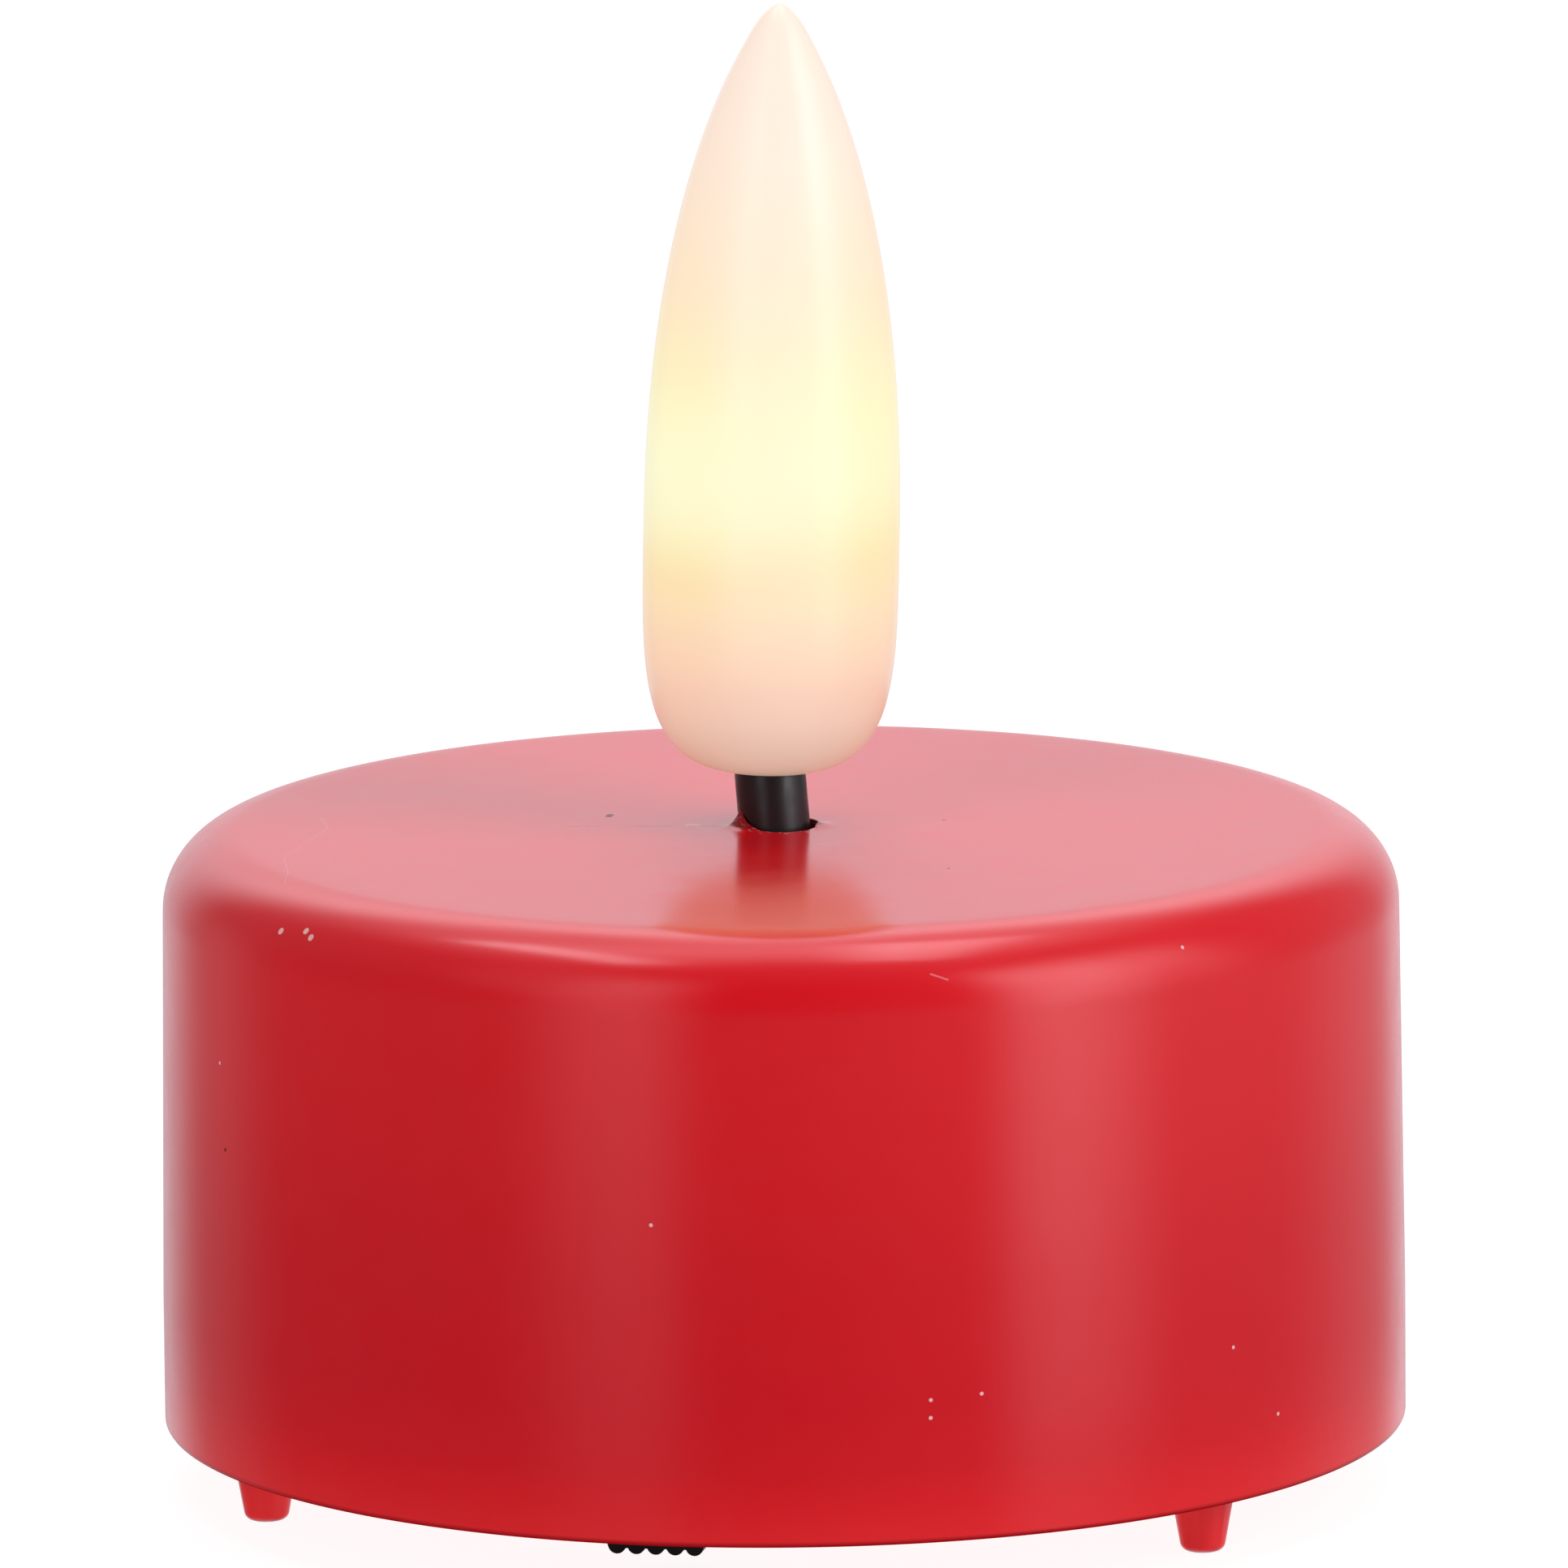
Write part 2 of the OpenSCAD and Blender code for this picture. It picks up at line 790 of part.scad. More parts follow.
// Radius of the flame at a share t of its length, over its widest radius:
// a nearly flat bottom below the belly, and a long curve to a blunt tip above it
function flame_shape(t) =
    t < belly
        ? pow(max(0, 1 - pow((belly - t) / belly, 4.1)), 0.29)
        : pow(max(0, 1 - pow((t - belly) / (1 - belly), 2.2)), 0.73);

// Outline from the axis at the bottom to the axis at the tip, with points close together at both ends
function flame_outline(r, length) =
    [for (i = [0:flame_steps])
        let (t = (1 - cos(180 * i / flame_steps)) / 2)
        [r * flame_shape(t), length * t]];

module flame_tip()
    color([1, 0.93, 0.8])
        difference() {
            on_flame()
                difference() {
                    rotate_extrude()
                        polygon(flame_outline(flame_r, flame_len));
                    translate([0, 0, flame_wall])
                        rotate_extrude()
                            polygon(flame_outline(flame_r - flame_wall, flame_len - flame_ends_t));
                }
            sleeve_rod(sleeve_r, 0, led_base);
        }

outer_shell();
base_plate();
battery_door();
door_screw();
screw_retainer();
switch_knob();
switch_wiper();
switch_frame();
switch_board();
switch_pins();
circuit_board();
timer_chip();
chip_legs();
chip_resistor();
chip_capacitor();
board_screws();
positive_contact();
negative_contact();
cell_can();
cell_core();
cell_gasket();
cell_cap();
led_lens();
led_legs();
led_wire_red();
led_wire_black();
wick_sleeve();
sleeve_collar();
flame_tip();
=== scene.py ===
"""A flameless LED tealight: a red moulded body, a lit milky flame on a black sleeve, and what is inside."""

import json
import math

import bpy
from mathutils import Matrix, Vector


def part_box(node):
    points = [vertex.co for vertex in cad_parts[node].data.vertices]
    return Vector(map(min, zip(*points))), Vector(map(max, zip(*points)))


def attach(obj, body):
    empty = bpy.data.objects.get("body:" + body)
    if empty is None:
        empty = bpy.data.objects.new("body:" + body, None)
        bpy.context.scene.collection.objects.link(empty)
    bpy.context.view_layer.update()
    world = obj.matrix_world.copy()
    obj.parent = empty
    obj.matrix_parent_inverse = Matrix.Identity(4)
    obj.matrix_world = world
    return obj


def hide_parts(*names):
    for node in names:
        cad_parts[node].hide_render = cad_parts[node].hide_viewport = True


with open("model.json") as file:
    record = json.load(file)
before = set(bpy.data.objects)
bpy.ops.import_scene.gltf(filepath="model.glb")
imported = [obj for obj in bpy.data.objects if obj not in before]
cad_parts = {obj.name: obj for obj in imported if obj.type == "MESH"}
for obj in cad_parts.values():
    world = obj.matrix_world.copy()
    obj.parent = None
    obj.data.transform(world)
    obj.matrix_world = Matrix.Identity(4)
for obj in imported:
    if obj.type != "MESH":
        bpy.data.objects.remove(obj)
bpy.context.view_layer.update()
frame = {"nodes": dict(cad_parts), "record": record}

MM = 0.001
nodes = frame["nodes"]

# ---------- places and sizes ----------

shell_low, shell_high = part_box("outer_shell")

RIM_Z = shell_low.z
TOP_Z = shell_high.z
RIM_R = (shell_high.x - shell_low.x) / 2

# Leans of the flame and the sleeve in the XZ plane, and where their axes cross the flat top
FLAME_LEAN = math.radians(1.4)
FLAME_X = -0.37 * MM
FLAME_GAP = 1.7 * MM
FLAME_LENGTH = 23.6 * MM
FLAME_R = 3.9 * MM
SLEEVE_LEAN = math.radians(4.5)
SLEEVE_X = -0.18 * MM
SLEEVE_R = 1.085 * MM
SLEEVE_BORE_R = 0.8 * MM
SLEEVE_FROM = -8 * MM
SLEEVE_TO = 7.5 * MM
HOLE_R = 1.3 * MM

# ---------- camera, at the photograph's angle ----------

CAMERA_DISTANCE = 0.6
CAMERA_AZIMUTH = math.radians(10.7)
CAMERA_ELEVATION = math.radians(12.44)
CAMERA_TILT = math.radians(1.835)
CAMERA_ROLL = math.radians(-0.51)
CAMERA_PAN = math.radians(-0.012)
SENSOR = 36
FOCAL_LENGTH = 449.3


def make_camera():
    aim = Vector((0, 0, RIM_Z))
    back = Vector((
        math.sin(CAMERA_AZIMUTH) * math.cos(CAMERA_ELEVATION),
        -math.cos(CAMERA_AZIMUTH) * math.cos(CAMERA_ELEVATION),
        math.sin(CAMERA_ELEVATION),
    ))
    level = (-back).to_track_quat("-Z", "Y").to_matrix()
    turn = (
        Matrix.Rotation(CAMERA_PAN, 3, "Y")
        @ Matrix.Rotation(CAMERA_TILT, 3, "X")
        @ Matrix.Rotation(CAMERA_ROLL, 3, "Z")
    )
    data = bpy.data.cameras.new("camera")
    data.sensor_width = SENSOR
    data.lens = FOCAL_LENGTH
    camera = bpy.data.objects.new("camera", data)
    camera.matrix_world = Matrix.Translation(aim + CAMERA_DISTANCE * back) @ (level @ turn).to_4x4()
    bpy.context.scene.collection.objects.link(camera)
    bpy.context.scene.camera = camera


# ---------- shader building ----------


class Shader:
    """A material built round one Principled shader, with short ways to add nodes."""

    def __init__(self, name, **inputs):
        self.material = bpy.data.materials.new(name)
        self.material.use_nodes = True
        self.tree = self.material.node_tree
        self.bsdf = self.tree.nodes["Principled BSDF"]
        for key, value in inputs.items():
            self.bsdf.inputs[key.replace("_", " ").title().replace("Ior", "IOR")].default_value = value
        self.place = self.add("ShaderNodeTexCoord").outputs["Object"]

    def add(self, kind, **settings):
        made = self.tree.nodes.new(kind)
        for key, value in settings.items():
            setattr(made, key, value)
        return made

    def feed(self, socket, value):
        """Links value to socket if it is a socket, and sets it if it is a number, vector or colour."""
        if isinstance(value, bpy.types.NodeSocket):
            self.tree.links.new(value, socket)
        else:
            socket.default_value = value

    def set(self, name, value):
        self.feed(self.bsdf.inputs[name], value)

    def math(self, operation, a, b=0.0):
        made = self.add("ShaderNodeMath", operation=operation)
        self.feed(made.inputs[0], a)
        self.feed(made.inputs[1], b)
        return made.outputs[0]

    def product(self, *factors):
        result = factors[0]
        for factor in factors[1:]:
            result = self.math("MULTIPLY", result, factor)
        return result

    def strongest(self, *masks):
        result = masks[0]
        for mask in masks[1:]:
            result = self.math("MAXIMUM", result, mask)
        return result

    def vector(self, operation, a, b=(0, 0, 0)):
        made = self.add("ShaderNodeVectorMath", operation=operation)
        self.feed(made.inputs[0], a)
        self.feed(made.inputs[1], b)
        return made.outputs["Value" if operation in ("LENGTH", "DISTANCE", "DOT_PRODUCT") else "Vector"]

    def parts(self, vector):
        """The X, Y and Z of a vector."""
        made = self.add("ShaderNodeSeparateXYZ")
        self.feed(made.inputs[0], vector)
        return made.outputs

    def stretched(self, scale):
        """The place, with each axis scaled, for textures that run along one axis."""
        return self.vector("MULTIPLY", self.place, scale)

    def noise(self, scale, detail=2.0, roughness=0.5, vector=None):
        made = self.add("ShaderNodeTexNoise")
        self.feed(made.inputs["Vector"], vector or self.place)
        made.inputs["Scale"].default_value = scale
        made.inputs["Detail"].default_value = detail
        made.inputs["Roughness"].default_value = roughness
        return made.outputs["Fac"]

    def spots(self, scale, size, share):
        """1 in round spots of a size in metres, in a share of the cells of a grid of a scale per metre."""
        made = self.add("ShaderNodeTexVoronoi")
        self.feed(made.inputs["Vector"], self.place)
        made.inputs["Scale"].default_value = scale
        cell = self.add("ShaderNodeSeparateColor")
        self.feed(cell.inputs[0], made.outputs["Color"])
        chosen = self.math("LESS_THAN", cell.outputs[0], share)
        reach = self.product(cell.outputs[1], size * scale)
        inside = self.math("LESS_THAN", made.outputs["Distance"], reach)
        return self.product(chosen, inside)

    def near(self, points, radius):
        """1 within a radius of any of some points, given in millimetres."""
        nearest = 1.0
        for point in points:
            away = self.vector("DISTANCE", self.place, tuple(MM * c for c in point))
            nearest = self.math("MINIMUM", nearest, away)
        return self.math("LESS_THAN", nearest, radius * MM)

    def scratch(self, points, half_width):
        """1 along a line through some points, given in millimetres."""
        nearest = 1.0
        for start, end in zip(points, points[1:]):
            start, end = Vector(start) * MM, Vector(end) * MM
            way = (end - start).normalized()
            offset = self.vector("SUBTRACT", self.place, tuple(start))
            along = self.vector("DOT_PRODUCT", offset, tuple(way))
            along = self.math("MINIMUM", along, (end - start).length)
            reach = self.add("ShaderNodeVectorMath", operation="SCALE")
            reach.inputs[0].default_value = way
            self.feed(reach.inputs["Scale"], self.math("MAXIMUM", along, 0.0))
            beside = self.vector("LENGTH", self.vector("SUBTRACT", offset, reach.outputs[0]))
            nearest = self.math("MINIMUM", nearest, beside)
        return self.math("LESS_THAN", nearest, half_width * MM)

    def remap(self, value, low, high, to_low=0.0, to_high=1.0, smooth=True):
        made = self.add("ShaderNodeMapRange", interpolation_type="SMOOTHSTEP" if smooth else "LINEAR")
        self.feed(made.inputs["Value"], value)
        for name, number in zip(("From Min", "From Max", "To Min", "To Max"), (low, high, to_low, to_high)):
            made.inputs[name].default_value = number
        return made.outputs["Result"]

    def ramp(self, value, *stops, smooth=False):
        """A colour along stops of (position, colour), with straight or smooth changes between them."""
        made = self.add("ShaderNodeValToRGB")
        made.color_ramp.interpolation = "CARDINAL" if smooth else "LINEAR"
        self.feed(made.inputs[0], value)
        elements = made.color_ramp.elements
        for i, (position, colour) in enumerate(stops):
            element = elements[i] if i < 2 else elements.new(position)
            element.position = position
            element.color = (*colour, 1)
        return made.outputs["Color"]

    def mix(self, share, a, b):
        made = self.add("ShaderNodeMix", data_type="RGBA")
        self.feed(made.inputs["Factor"], share)
        self.feed(made.inputs["A"], (*a, 1) if isinstance(a, tuple) else a)
        self.feed(made.inputs["B"], (*b, 1) if isinstance(b, tuple) else b)
        return made.outputs["Result"]

    def soften(self, radius):
        """Rounds the shading of sharp edges, for pieces that come from the CAD. Comes before any bump."""
        made = self.add("ShaderNodeBevel", samples=6)
        made.inputs["Radius"].default_value = radius
        self.feed(self.bsdf.inputs["Normal"], made.outputs["Normal"])

    def bump(self, height, distance):
        """Adds a bump of a height in metres over those already there."""
        made = self.add("ShaderNodeBump")
        made.inputs["Distance"].default_value = distance
        self.feed(made.inputs["Height"], height)
        before = self.bsdf.inputs["Normal"].links
        if before:
            self.feed(made.inputs["Normal"], before[0].from_socket)
        self.feed(self.bsdf.inputs["Normal"], made.outputs["Normal"])


# ---------- materials ----------

# Colours up the body, in millimetres from the floor, with light and shade painted in: a dark painted-shade
# line at the bottom edge, a paler rim of painted light from the floor, a darker painted-shade band low on
# the wall and a lighter top
BODY_RED_AND_PAINTED_LIGHT = (
    (RIM_Z / MM, (0.30, 0.003, 0.006)),
    (RIM_Z / MM + 0.09, (0.26, 0.003, 0.006)),
    (RIM_Z / MM + 0.17, (0.73, 0.012, 0.018)),
    (RIM_Z / MM + 1.1, (0.69, 0.007, 0.013)),
    (4.2, (0.625, 0.004, 0.011)),
    (6.0, (0.595, 0.003, 0.0105)),
    (9.5, (0.605, 0.003, 0.0100)),
    (13.5, (0.65, 0.0035, 0.0100)),
    (17.2, (0.68, 0.004, 0.0105)),
    (20.7, (0.69, 0.004, 0.0115)),
)
# The base's red up its height, in millimetres from the floor: the feet's tips are painted dark, painted
# shade where they meet the floor, and the red is a little paler low down
BASE_RED_AND_PAINTED_SHADE = (
    (0.04, (0.30, 0.002, 0.005)),
    (0.16, (0.80, 0.004, 0.009)),
    (11.0, (0.72, 0.004, 0.009)),
)


# Small marks on the body, as points in millimetres
CHIPS = ((-12.72, -13.37, 19.12), (-11.81, -14.04, 19.28), (-11.6, -14.33, 19.14))
SPECKS = (
    (14.36, -11.67, 19.04), (7.68, -17.38, 6.27), (7.67, -17.38, 5.73), (9.09, -16.68, 6.36),
    (-15.11, -11.37, 14.62), (15.69, -10.71, 6.69), (16.75, -8.97, 4.31), (-0.43, -18.93, 11.65),
)
HAIRLINE = (
    (-14.11, -0.96, 20.2), (-13.56, -2.49, 20.2), (-13.87, -7.45, 20.2), (-13.26, -9.73, 20.2),
    (-13.05, -11.4, 20.1),
)
TOP_NICK = ((1.54, -3.05, 20.2), (2.39, -2.93, 20.2))
EDGE_NICK = ((7.67, -16.83, 19.05), (8.16, -16.71, 18.87))
SMEAR = ((-2.72, -0.44, 20.2), (-2.5, -0.5, 20.2))
# painted shade: one small dark spot on the flat top, drawn as three overlapping dots
SHADED_SPOT = ((-5.43, 0.52, 20.2), (-5.43, 0.66, 20.2), (-5.43, 0.80, 20.2))
DOTS = ((4.81, 1.42, 20.2), (6.34, -6.32, 20.2), (-14.9, -11.68, 12.02))
MOULD_LINE = ((-6.35, -1.22, 20.2), (-1.32, -0.51, 20.2))


def moulded_red(name, along_height, roughness):
    """Satin moulded plastic: slightly uneven in colour, gloss and flatness, with a little dust.
    along_height has stops of (height in millimetres, colour), with light and shade painted into them."""
    s = Shader(name, roughness=roughness, ior=1.48)
    top = along_height[-1][0]
    height = s.remap(s.parts(s.place)["Z"], 0, top * MM, smooth=False)
    # the colour up the height, which carries painted light and shade
    colour = s.ramp(height, *[(z / top, c) for z, c in along_height])
    cloudy = s.remap(s.noise(180, 3), 0.35, 0.65, 0.0, 0.06)
    body = s.mix(cloudy, colour, (0.5, 0.0, 0.0))
    dust = s.spots(260, 0.00007, 0.10)
    # dust over the red and its painted light and shade
    s.dusted = s.mix(s.product(dust, 0.6), body, (0.80, 0.42, 0.42))
    s.set("Base Color", s.dusted)
    s.set("Roughness", s.remap(s.noise(700, 3), 0.3, 0.7, roughness - 0.015, roughness + 0.02))
    return s


def pale_marks(s, beside_hole, front):
    """Chips, specks, scratches and a smear, and burrs along the front of the hole."""
    nicks = s.strongest(s.scratch(TOP_NICK, 0.03), s.scratch(EDGE_NICK, 0.03))
    burr = s.product(beside_hole, front, s.remap(s.noise(5200, 2), 0.56, 0.64))
    return s.strongest(
        s.product(s.strongest(s.near(CHIPS, 0.11), s.near(SPECKS, 0.06)), 0.8),
        s.product(nicks, 0.25),
        s.product(s.scratch(HAIRLINE, 0.03), 0.10),
        s.product(s.near(SMEAR, 0.16), 0.35),
        s.product(burr, 0.45),
    )


def dark_marks_and_painted_shade(s, from_axis, z):
    """Dots and a broken mould line, and painted shade: a small dark spot, the torn lip round the hole and
    the bore of the hole.
    """
    broken = s.remap(s.noise(1200, 2), 0.4, 0.55)
    # painted shade on the torn lip round the hole
    painted_lip_shade = s.product(
        s.math("LESS_THAN", from_axis, 2.2 * MM),
        s.remap(z, TOP_Z + 0.02 * MM, TOP_Z + 0.09 * MM),
    )
    # painted shade in the bore of the hole
    painted_bore_shade = s.product(
        s.math("LESS_THAN", from_axis, HOLE_R + 0.02 * MM),
        s.remap(z, TOP_Z - 0.1 * MM, TOP_Z - 0.02 * MM, 1.0, 0.0),
    )
    return s.strongest(
        # the small dark spot, painted shade
        s.near(SHADED_SPOT, 0.11),
        s.near(DOTS, 0.06),
        s.product(s.scratch(MOULD_LINE, 0.035), broken, 0.6),
        s.product(painted_lip_shade, 0.7),
        s.product(painted_bore_shade, 0.75),
    )


def red_body(name):
    """The body's plastic, with the small marks of a cheap moulding that has been handled, and shade painted
    into the hole's bore, onto its torn lip and into one small spot.
    """
    s = moulded_red(name, BODY_RED_AND_PAINTED_LIGHT, 0.18)
    place = s.parts(s.place)
    from_axis = s.vector("LENGTH", s.vector("MULTIPLY", s.place, (1, 1, 0)))
    beside_hole = s.remap(from_axis, HOLE_R + 0.1 * MM, HOLE_R + 0.5 * MM, 1.0, 0.0)
    front = s.remap(place["Y"], -1.0 * MM, -0.4 * MM, 1.0, 0.0)
    pale = pale_marks(s, beside_hole, front)
    shade_and_dark_marks = dark_marks_and_painted_shade(s, from_axis, place["Z"])
    # the dark colour is the dots' and the mould line's own colour, and painted shade in the bore, on the
    # lip and in the spot
    s.set("Base Color", s.mix(shade_and_dark_marks, s.mix(pale, s.dusted, (0.90, 0.55, 0.55)), (0.12, 0.002, 0.008)))

    # the gloss grows up the wall, and is lost on the rim, in the dark marks and where shade is painted
    s.set("Specular IOR Level", s.product(
        s.remap(place["Z"], 4 * MM, 18.5 * MM, 0.29, 0.5),
        s.remap(place["Z"], RIM_Z + 0.06 * MM, RIM_Z + 0.16 * MM),
        s.remap(shade_and_dark_marks, 0.0, 1.0, 1.0, 0.15),
    ))
    s.bump(s.noise(260, 2), 0.000006)
    s.bump(s.math("SUBTRACT", pale, shade_and_dark_marks), 0.00003)
    return s.material


def red_base(name):
    """The base's plastic, less polished than the body's."""
    s = moulded_red(name, BASE_RED_AND_PAINTED_SHADE, 0.30)
    s.soften(0.08 * MM)
    s.bump(s.noise(3500, 2), 0.000004)
    return s.material


def milky_flame(name):
    """Translucent milky plastic, lit by the LED inside it."""
    s = Shader(name, roughness=0.33, coat_weight=1.0, coat_roughness=0.25, coat_ior=1.36)
    s.set("Specular IOR Level", 0.0)
    base_z = TOP_Z + FLAME_GAP
    place = s.parts(s.place)
    along = s.ramp(
        s.remap(place["Z"], base_z, base_z + FLAME_LENGTH, smooth=False),
        (0.0, (0.49, 0.355, 0.25)),
        (0.07, (0.61, 0.43, 0.325)),
        (0.14, (0.75, 0.50, 0.35)),
        (0.22, (0.79, 0.59, 0.345)),
        (0.30, (0.79, 0.65, 0.31)),
        (0.39, (0.81, 0.755, 0.41)),
        (0.50, (0.81, 0.745, 0.40)),
        (0.62, (0.81, 0.645, 0.41)),
        (0.80, (0.80, 0.615, 0.49)),
        (1.0, (0.78, 0.59, 0.50)),
        smooth=True,
    )
    # a paler core, and a yellow hot spot where the LED is
    beside = s.math("ABSOLUTE", s.math("SUBTRACT", place["X"], 0.6 * MM))
    core = s.product(
        s.remap(beside, 0.4 * MM, 3.1 * MM, 0.28, 0.0),
        s.remap(place["Z"], base_z + 3 * MM, base_z + 8.5 * MM, 0.5, 1.0),
    )
    along = s.mix(core, along, (0.86, 0.80, 0.72))
    glow = (FLAME_X - 1.2 * MM, -1.6 * MM, base_z + 9.3 * MM)
    offset = s.vector("MULTIPLY", s.vector("SUBTRACT", s.place, glow), (0.55, 0.55, 1.0))
    hot = s.remap(s.vector("LENGTH", offset), 0.6 * MM, 3.6 * MM, 1.0, 0.0)
    light = s.mix(s.product(hot, 0.8), along, (0.80, 0.82, 0.52))
    lit_side = s.remap(place["X"], -4 * MM, 0.5 * MM, 1.05, 1.0)
    s.set("Base Color", s.mix(s.noise(420, 2), (0.28, 0.25, 0.21), (0.31, 0.28, 0.24)))
    s.set("Emission Color", light)
    s.set("Emission Strength", s.product(lit_side, 0.975))
    s.bump(s.noise(900, 2, vector=s.stretched((1, 1, 0.15))), 0.000003)
    return s.material


def black_tube(name):
    """Semi-gloss black sleeving, with faint draw lines along it."""
    s = Shader(name, roughness=0.34, ior=1.5)
    lines = s.noise(3500, 2, vector=s.stretched((1, 1, 0.05)))
    s.set("Base Color", s.mix(lines, (0.004, 0.004, 0.004), (0.010, 0.010, 0.010)))
    s.set("Roughness", s.remap(s.noise(1500, 3), 0.3, 0.7, 0.28, 0.42))
    s.bump(lines, 0.000005)
    return s.material


def matt_plastic(name, colour, roughness=0.5, grain=4000, depth=0.000003, gloss=0.5):
    """Plain moulded plastic, rubber or board, slightly uneven in colour and with a fine grain."""
    s = Shader(name, roughness=roughness, ior=1.46)
    s.soften(0.05 * MM)
    uneven = s.noise(400, 3)
    darker = tuple(0.8 * c for c in colour)
    s.set("Base Color", s.mix(s.remap(uneven, 0.3, 0.7), darker, colour))
    s.set("Roughness", s.remap(s.noise(1200, 2), 0.3, 0.7, roughness - 0.06, roughness + 0.08))
    s.set("Specular IOR Level", gloss)
    s.bump(s.noise(grain, 2), depth)
    return s.material


def plated_metal(name, colour, roughness=0.3, along=(1, 1, 1)):
    """Plated metal with fine brushing and a few duller patches."""
    s = Shader(name, metallic=1.0, roughness=roughness)
    s.soften(0.05 * MM)
    brushed = s.noise(2500, 3, vector=s.stretched(along))
    patches = s.noise(500, 3)
    duller = tuple(0.78 * c for c in colour)
    s.set("Base Color", s.mix(s.remap(patches, 0.35, 0.7), colour, duller))
    s.set("Roughness", s.remap(brushed, 0.2, 0.8, roughness - 0.08, roughness + 0.14))
    s.bump(brushed, 0.000002)
    return s.material


def clear_lens(name):
    """Clear epoxy with a warm glow inside."""
    s = Shader(name, roughness=0.08, ior=1.52)
    s.set("Base Color", s.mix(s.noise(600, 2), (0.9, 0.82, 0.6), (0.95, 0.88, 0.68)))
    s.set("Emission Color", s.mix(s.noise(300, 1), (1.0, 0.75, 0.35), (1.0, 0.82, 0.45)))
    s.set("Emission Strength", 2.0)
    return s.material


def circuit_green(name):
    """Green solder mask, with copper tracks showing under it."""
    s = Shader(name, roughness=0.35, ior=1.5)
    tracks = s.add("ShaderNodeTexBrick")
    s.feed(tracks.inputs["Vector"], s.place)
    tracks.inputs["Scale"].default_value = 260
    tracks.inputs["Mortar Size"].default_value = 0.06
    s.set("Base Color", s.mix(tracks.outputs["Fac"], (0.012, 0.11, 0.045), (0.03, 0.2, 0.07)))
    s.bump(tracks.outputs["Fac"], 0.00002)
    return s.material


MATERIALS = {
    "red_body": red_body("red_body"),
    "red_base": red_base("red_base"),
    "flame": milky_flame("flame"),
    "sleeve_black": black_tube("sleeve_black"),
    "black_plastic": matt_plastic("black_plastic", (0.003, 0.003, 0.0034), 0.45, gloss=0.18),
    "steel": plated_metal("steel", (0.56, 0.56, 0.57), 0.32),
    "nickel": plated_metal("nickel", (0.66, 0.64, 0.60), 0.25, (1, 1, 0.2)),
    "tin": plated_metal("tin", (0.68, 0.68, 0.70), 0.35),
    "brass": plated_metal("brass", (0.72, 0.50, 0.20), 0.25),
    "nylon": matt_plastic("nylon", (0.72, 0.69, 0.60), 0.45),
    "phenolic": matt_plastic("phenolic", (0.24, 0.11, 0.045), 0.55),
    "board_green": circuit_green("board_green"),
    "chip_black": matt_plastic("chip_black", (0.018, 0.018, 0.02), 0.6, 6000, 0.000008),
    "ceramic_tan": matt_plastic("ceramic_tan", (0.36, 0.22, 0.11), 0.5),
    "cell_core": matt_plastic("cell_core", (0.02, 0.02, 0.022), 0.8),
    "gasket": matt_plastic("gasket", (0.015, 0.015, 0.016), 0.6),
    "led_lens": clear_lens("led_lens"),
    "wire_red": matt_plastic("wire_red", (0.5, 0.01, 0.01), 0.4),
    "wire_black": matt_plastic("wire_black", (0.012, 0.012, 0.012), 0.4),
}


def dress_cad_nodes():
    """Every carried-over CAD node gets the material of its slot in the record."""
    for part in frame["record"]["subparts"]:
        mesh = nodes[part["node"]].data
        mesh.materials.clear()
        mesh.materials.append(MATERIALS[part["material_slot"]])


# ---------- mesh building ----------


def make_piece(name, points, faces, body, slot, *replaced):
    """A smooth-shaded piece that rides on a body and stands for some CAD nodes."""
    mesh = bpy.data.meshes.new(name)
    mesh.from_pydata(points, [], faces)
    mesh.validate()
    mesh.shade_smooth()
    mesh.materials.append(MATERIALS[slot])
    piece = bpy.data.objects.new(name, mesh)
    bpy.context.scene.collection.objects.link(piece)
    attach(piece, body)
    if replaced:
        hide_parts(*replaced)
    return piece


def arc(centre, radius, start, end, steps):
    """Points of (radius, height) along an arc, from one angle to another, in degrees."""
    angles = [math.radians(start + (end - start) * i / steps) for i in range(steps + 1)]
    return [(centre[0] + radius * math.cos(a), centre[1] + radius * math.sin(a)) for a in angles]


def lathe(outline, around, closed=True, shape=None):
    """Points and faces of an outline of (radius, height) turned about Z.
    shape(r, a, z) may change each point. A point of radius 0 becomes one point on the axis."""
    points, rings, faces = [], [], []
    for r, z in outline:
        if r < 1e-9:
            rings.append([len(points)])
            points.append(Vector((0, 0, z)))
            continue
        first = len(points)
        for i in range(around):
            a = 2 * math.pi * i / around
            p = (r, a, z) if shape is None else shape(r, a, z)
            points.append(Vector((p[0] * math.cos(p[1]), p[0] * math.sin(p[1]), p[2])))
        rings.append(list(range(first, first + around)))
    pairs = list(zip(rings, rings[1:])) + ([(rings[-1], rings[0])] if closed else [])
    for a, b in pairs:
        for i in range(around):
            j = (i + 1) % around
            if len(a) == 1:
                faces.append((a[0], b[j], b[i]))
            elif len(b) == 1:
                faces.append((a[i], a[j], b[0]))
            else:
                faces.append((a[i], a[j], b[j], b[i]))
    return points, faces


def leaned(points, angle, x, z):
    """Points of a piece made upright on Z, leaned towards +X and set on its foot."""
    place = Matrix.Translation((x, 0, z)) @ Matrix.Rotation(angle, 4, "Y")
    return [place @ p for p in points]


# ---------- the body ----------

